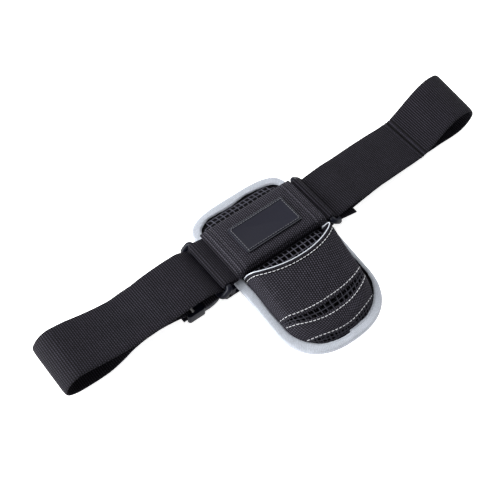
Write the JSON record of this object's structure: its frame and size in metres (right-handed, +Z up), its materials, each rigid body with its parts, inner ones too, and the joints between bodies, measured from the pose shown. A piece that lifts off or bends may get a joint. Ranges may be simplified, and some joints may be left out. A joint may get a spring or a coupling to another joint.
{
  "type": "fishing fighting belt",
  "caption": "Fishing fighting belt with a padded front, a rod butt pocket, ring-mounted webbing straps and a side-release buckle, lying fastened on a flat surface.",
  "frame": {"origin": "on the surface that the belt lies on, under the middle of the patch, on the flat stretch of the right strap", "axes": "+X along the belt towards the right strap's loop, +Y towards the top of the pad, +Z up, away from the surface"},
  "size_m": [0.4541, 0.1694, 0.0383],
  "materials": {
    "webbing": "ribbed charcoal webbing",
    "cloth": "charcoal ribbed cloth",
    "padding": "black spacer mesh over foam",
    "net": "grey open net",
    "tape": "pale grey binding tape",
    "piping": "white cord piping",
    "rubber": "matt dark grey rubber",
    "plastic": "dark grey acetal"
  },
  "bodies": {
    "root": {"pad": "padding", "binding": "tape", "front_band": "webbing", "band_cover": "cloth", "patch": "rubber", "ring_left": "plastic", "ring_right": "plastic", "pocket_panel": "cloth", "mouth_hem": "webbing", "mouth_piping": "piping", "pocket_net": "net", "pocket_band": "cloth", "bottom_net": "net", "strap_left": "webbing", "strap_right": "webbing", "buckle_male": "plastic", "buckle_female": "plastic"}
  },
  "joints": []
}
